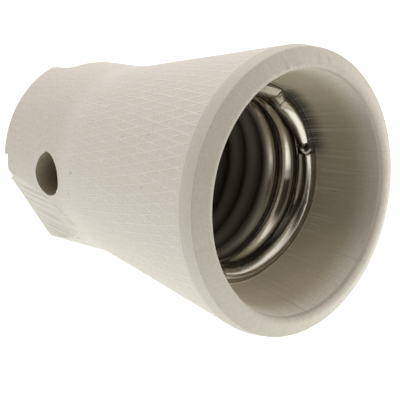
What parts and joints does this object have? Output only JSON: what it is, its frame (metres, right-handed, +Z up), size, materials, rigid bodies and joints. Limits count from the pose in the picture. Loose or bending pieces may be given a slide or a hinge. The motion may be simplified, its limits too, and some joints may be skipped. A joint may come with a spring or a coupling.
{
  "type": "porcelain screw lampholder",
  "caption": "Flared unglazed porcelain lampholder with a nickel screw shell, a sprung centre contact and a rear lead entry, for a poultry heat lamp.",
  "frame": {"origin": "on the lampholder's axis, in the plane of its rear face, at the lead entry that it hangs by", "axes": "+Y leaves the rear face along the axis, so the mouth looks along -Y; +Z is up; the cross hole in the neck points along -X"},
  "size_m": [0.041, 0.0501, 0.041],
  "materials": {
    "porcelain": "unglazed, matt, warm off-white with fine raised mould lines",
    "steatite": "unglazed, matt, cream",
    "nickel_plate": "bright nickel plate on pressed sheet",
    "contact_brass": "rolled, lightly tarnished",
    "zinc_steel": "zinc plated",
    "silicone": "matt, moulded"
  },
  "bodies": {
    "holder": {"porcelain_body": "porcelain", "terminal_block": "steatite", "screw_shell": "nickel_plate", "contact_foot": "contact_brass", "live_terminal": "contact_brass", "neutral_terminal": "contact_brass", "shell_screw_left": "zinc_steel", "shell_screw_right": "zinc_steel", "contact_screw": "zinc_steel", "block_screw_upper": "zinc_steel", "block_screw_lower": "zinc_steel", "shell_lock_washer_left": "zinc_steel", "shell_lock_washer_right": "zinc_steel", "contact_lock_washer": "zinc_steel", "block_lock_washer_upper": "zinc_steel", "block_lock_washer_lower": "zinc_steel", "shell_nut": "zinc_steel", "block_nut_upper": "zinc_steel", "block_nut_lower": "zinc_steel", "entry_bush": "silicone"},
    "tongue": {"retention_spring": "nickel_plate"},
    "leaf": {"contact_leaf": "contact_brass"},
    "live_clamp": {"live_wire_screw": "zinc_steel", "live_clamp_washer": "contact_brass"},
    "neutral_clamp": {"neutral_wire_screw": "zinc_steel", "neutral_clamp_washer": "contact_brass"}
  },
  "joints": [
    {"name": "tongue_flex", "type": "hinge", "parent": "holder", "child": "tongue", "pos_m": [0.00724, -0.0395, 0.0111], "axis": [0, -1, 0], "range_deg": [0, 3], "stiffness_Nm_per_rad": 0.2},
    {"name": "contact_flex", "type": "hinge", "parent": "holder", "child": "leaf", "pos_m": [-0.00165, -0.01955, 0.00286], "axis": [0.866, 0, 0.5], "range_deg": [0, 18], "stiffness_Nm_per_rad": 0.02},
    {"name": "live_screw_travel", "type": "slide", "parent": "holder", "child": "live_clamp", "axis": [0, 1, 0], "range_m": [0, 0.0025]},
    {"name": "neutral_screw_travel", "type": "slide", "parent": "holder", "child": "neutral_clamp", "axis": [0, 1, 0], "range_m": [0, 0.0025]}
  ]
}
